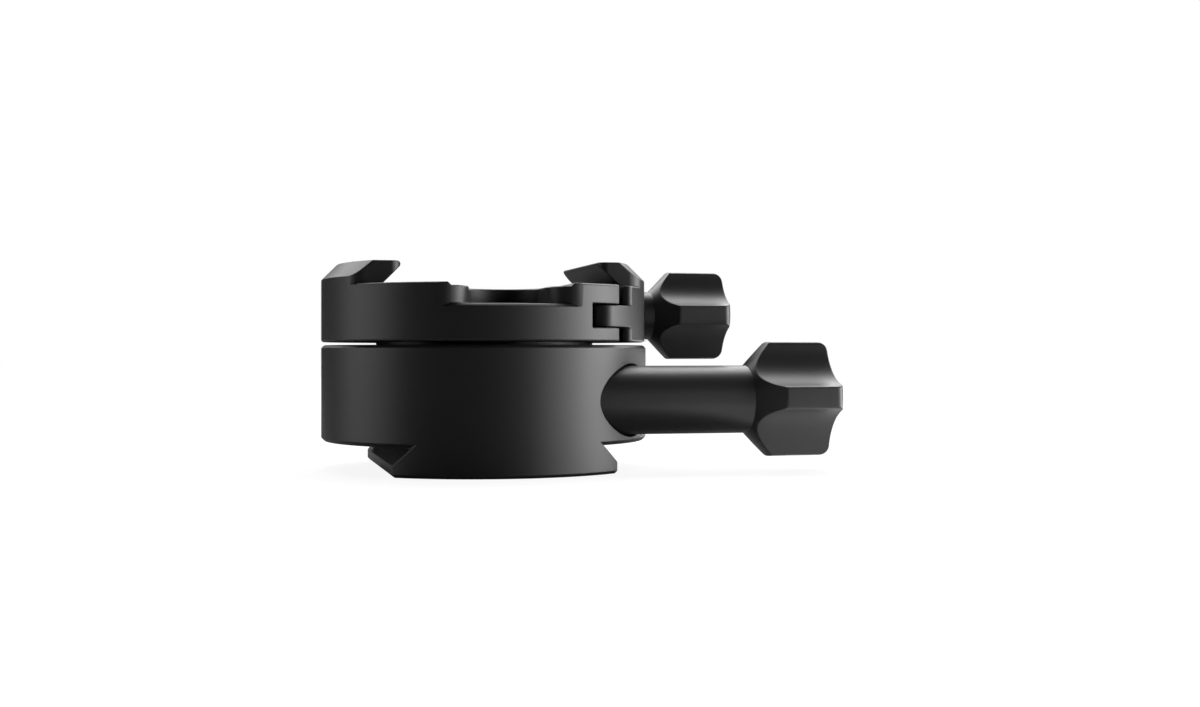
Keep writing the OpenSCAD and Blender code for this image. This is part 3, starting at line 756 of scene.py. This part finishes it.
bedScrews = {
    "head": 5.5, "headHeight": 3, "edge": 0.25, "edgeSteps": 4,
    "shank": 3, "length": 12, "neck": 0.2, "tip": 0.3,
    "key": 2.49, "keyDepth": 1.65, "keyLip": 0.14, "keyLipDepth": 0.1,
    "drill": 0.9, "drillPoint": 0.4,  # shares of the key's half width
    "sides": 48, "smooth": 35, "spacing": 17, "seat": 28.12, "turnStep": 0.45,
}
screwMesh = grown(
    socketScrew(bedScrews), makeGridTree(), "bed_screws_mesh", Columns=2, Rows=2,
    Width=bedScrews["spacing"] * mm, Length=bedScrews["spacing"] * mm, Height=bedScrews["seat"] * mm,
    Turn_Step=bedScrews["turnStep"], Material=materials["boltSteel"],
)
addPiece("bed_screws", screwMesh, "pan", "black_steel", "boltSteel", "mount_screws")
print("screws set out")


# Coils: a section swept along a helix, for the jaw's spring and the tripod thread
def makeCoilTree():
    tree = bpy.data.node_groups.new("windCoil", "GeometryNodeTree")
    tree.is_modifier = True
    start, end = openTree(
        tree,
        [
            ("Geometry", "Geometry", None),
            ("Radius", "Float", 0.003),
            ("Length", "Float", 0.008),
            ("Turns", "Float", 5),
            ("Steps", "Int", 40),
            ("Section Radius", "Float", 0.0004),
            ("Section Sides", "Int", 12),
            ("Material", "Material", None),
        ],
        [("Geometry", "Geometry")],
    )
    helix = addNode(tree, "GeometryNodeCurveSpiral")
    for socket, name in (("Resolution", "Steps"), ("Rotations", "Turns"), ("Start Radius", "Radius"),
                         ("End Radius", "Radius"), ("Height", "Length")):
        feed(tree, helix.inputs[socket], start.outputs[name])
    upright = addNode(tree, "GeometryNodeSetCurveNormal", mode="Z_UP")
    feed(tree, upright.inputs["Curve"], helix.outputs[0])
    section = addNode(tree, "GeometryNodeCurvePrimitiveCircle", mode="RADIUS")
    feed(tree, section.inputs["Resolution"], start.outputs["Section Sides"])
    feed(tree, section.inputs["Radius"], start.outputs["Section Radius"])
    swept = addNode(tree, "GeometryNodeCurveToMesh")
    feed(tree, swept.inputs["Curve"], upright.outputs[0])
    feed(tree, swept.inputs["Profile Curve"], section.outputs["Curve"])
    feed(tree, swept.inputs["Fill Caps"], True)
    return endGeometry(tree, start, end, swept.outputs[0])


coilTree = makeCoilTree()


def coil(settings, material):
    mesh = grown(
        bpy.data.meshes.new("empty"), coilTree, settings["name"], Radius=settings["radius"] * mm,
        Length=settings["length"] * mm, Turns=float(settings["turns"]), Steps=settings["steps"],
        Section_Radius=settings["section"] * mm, Section_Sides=settings["sides"], Material=materials[material],
    )
    mesh.transform(settings["place"])
    work = bmesh.new()
    work.from_mesh(mesh)
    bmesh.ops.remove_doubles(work, verts=work.verts, dist=tiny)
    bmesh.ops.recalc_face_normals(work, faces=work.faces)
    work.to_mesh(mesh)
    work.free()
    shadeByAngle(mesh, settings["smooth"])
    return mesh


bushThread = {
    "name": "bush_thread_mesh", "radius": 4.8, "length": 5.556, "turns": 3.5, "steps": 64, "section": 0.86,
    "sides": 3, "smooth": 50, "place": Matrix.Translation((0, 0, 0.8 * mm)),
}
addPiece("bush_thread", coil(bushThread, "turnedSteel"), "base", "steel", "turnedSteel")

jawSpring = {
    "name": "jaw_coil_mesh", "radius": 3.2, "length": 8.1, "turns": 5, "steps": 36, "section": 0.35,
    "sides": 12, "smooth": 50,
    "place": Matrix.Translation((12.4 * mm, 0, 27.3 * mm)) @ Matrix.Rotation(math.radians(90), 4, "Y"),
}
jawCoil = addPiece("jaw_coil", coil(jawSpring, "springSteel"), None, "steel", "springSteel", "jaw_spring")
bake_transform(jawCoil)
print("coils wound")


# Lamps: softboxes about the object, each given by where it stands, how wide and tall it looks from
# the object, in degrees, and how bright it is. Azimuth counts from the camera's side to its right.
aim = Vector((0.012, -0.006, 0.018))
lamps = {
    "rightWide": {"azimuth": 80, "height": 10, "across": 68, "tall": 26, "brightness": 3.6},
    "rightCore": {"azimuth": 90, "height": 10, "across": 36, "tall": 26, "brightness": 6.4},
    "left": {"azimuth": -84, "height": 10, "across": 42, "tall": 26, "brightness": 2},
    "backRight": {"azimuth": 150, "height": 38, "across": 50, "tall": 28, "brightness": 5.8},
    "backLeft": {"azimuth": -150, "height": 38, "across": 50, "tall": 28, "brightness": 4.7},
    "top": {"azimuth": 180, "height": 64, "across": 70, "tall": 24, "brightness": 7.3},
}
lampDistance = 0.9


def outward(azimuth, height):
    a, e = math.radians(azimuth + camera["turn"]), math.radians(height)
    return Vector((math.sin(a) * math.cos(e), -math.cos(a) * math.cos(e), math.sin(e)))


def addLamp(name, place, turn, width, length, brightness):
    data = bpy.data.lights.new(name, "AREA")
    data.shape = "RECTANGLE"
    data.size, data.size_y = width, length
    data.energy = math.pi * width * length * brightness
    lamp = bpy.data.objects.new(name, data)
    lamp.location = place
    lamp.rotation_euler = turn
    lamp.visible_camera = False
    bpy.context.scene.collection.objects.link(lamp)


for name, settings in lamps.items():
    out = outward(settings["azimuth"], settings["height"])
    narrowing = math.cos(math.radians(settings["height"]))
    across = 2 * lampDistance * math.tan(math.radians(settings["across"] / 2)) * narrowing
    tall = 2 * lampDistance * math.tan(math.radians(settings["tall"] / 2))
    turn = (-out).to_track_quat("-Z", "Y").to_euler()
    addLamp(name, aim + out * lampDistance, turn, across, tall, settings["brightness"])

# Bright cards that lie on the table, to the object's right and behind it, and throw light up at its side
cards = {
    "nearCard": {"azimuth": 115, "away": 0.11, "width": 0.2, "depth": 0.08, "brightness": 6},
    "frontCard": {"azimuth": 67, "away": 0.062, "width": 0.07, "depth": 0.05, "brightness": 1},
    "farCard": {"azimuth": 115, "away": 0.28, "width": 0.5, "depth": 0.24, "brightness": 2.5},
}
for name, settings in cards.items():
    place = Vector((aim.x, aim.y, 0)) + outward(settings["azimuth"], 0) * settings["away"]
    turn = (math.pi, 0, math.radians(settings["azimuth"] + camera["turn"]))
    addLamp(name, place, turn, settings["width"], settings["depth"], settings["brightness"])

# World: a dim room for the object, white for the camera
room = {"ambient": 0.01, "white": 1}


def makeRoom(settings):
    world = bpy.data.worlds.new("room")
    bpy.context.scene.world = world
    world.use_nodes = True
    tree = world.node_tree
    tree.nodes.clear()
    path = addNode(tree, "ShaderNodeLightPath")
    seen = calc(tree, "MAXIMUM", path.outputs["Is Camera Ray"], path.outputs["Is Transmission Ray"])
    dim = addShader(tree, "ShaderNodeBackground", Color=rgb(1), Strength=settings["ambient"])
    white = addShader(tree, "ShaderNodeBackground", Color=rgb(1), Strength=settings["white"])
    output = addNode(tree, "ShaderNodeOutputWorld")
    feed(tree, output.inputs[0], mixShaders(tree, seen, dim, white))


makeRoom(room)

# Floor: white to the camera, with the object's shadow kept near it; dim in reflections, where the
# cards do its part
floorSettings = {
    "size": 6, "drop": 0.00005, "pale": 0.8, "lift": 0.9, "keep": 0.15, "near": 0.14, "far": 0.34,
    "mirror": 0.03, "polish": 0.25, "polishIor": 1.25,
}


def makeFloor(settings):
    half, z = settings["size"] / 2, -settings["drop"]
    mesh = bpy.data.meshes.new("floor")
    corners = [(-half, -half, z), (half, -half, z), (half, half, z), (-half, half, z)]
    mesh.from_pydata(corners, [], [(0, 1, 2, 3)])
    floor = bpy.data.objects.new("floor", mesh)
    bpy.context.scene.collection.objects.link(floor)
    made = bpy.data.materials.new("paleFloor")
    made.use_nodes = True
    tree = made.node_tree
    tree.nodes.clear()
    path = addNode(tree, "ShaderNodeLightPath")
    glossy = path.outputs["Is Glossy Ray"]
    seen = calc(tree, "MAXIMUM", path.outputs["Is Camera Ray"],
                calc(tree, "MAXIMUM", glossy, path.outputs["Is Transmission Ray"]))
    dimming = calc(tree, "MULTIPLY_ADD", glossy, settings["mirror"] - 1, 1)
    place = addNode(tree, "ShaderNodeTexCoord").outputs["Object"]
    fade = addNode(tree, "ShaderNodeMapRange", interpolation_type="SMOOTHSTEP")
    feed(tree, fade.inputs["Value"], vectorCalc(tree, "LENGTH", place).outputs["Value"])
    for key, value in (("From Min", settings["near"]), ("From Max", settings["far"]),
                       ("To Min", settings["lift"]), ("To Max", 1)):
        fade.inputs[key].default_value = value
    glow = addShader(tree, "ShaderNodeEmission", Strength=calc(tree, "MULTIPLY", fade.outputs[0], dimming))
    keep = addShader(tree, "ShaderNodeBsdfDiffuse", Color=rgb(settings["keep"]))
    both = feedInOrder(tree, addNode(tree, "ShaderNodeAddShader"), (keep, glow)).outputs[0]
    paint = addShader(tree, "ShaderNodeBsdfDiffuse", Color=rgb(settings["pale"]))
    plain = mixShaders(tree, seen, paint, both)
    # Seen from the object the table has a polish, so that the lamps show in it at a low angle
    polish = addShader(tree, "ShaderNodeBsdfGlossy", Color=rgb(1), Roughness=settings["polish"])
    slant = addShader(tree, "ShaderNodeFresnel", IOR=settings["polishIor"])
    output = addNode(tree, "ShaderNodeOutputMaterial")
    feed(tree, output.inputs["Surface"], mixShaders(tree, calc(tree, "MULTIPLY", slant, glossy), plain, polish))
    mesh.materials.append(made)


makeFloor(floorSettings)
bpy.context.scene.view_settings.view_transform = "Standard"
print("lamps, room and floor made")
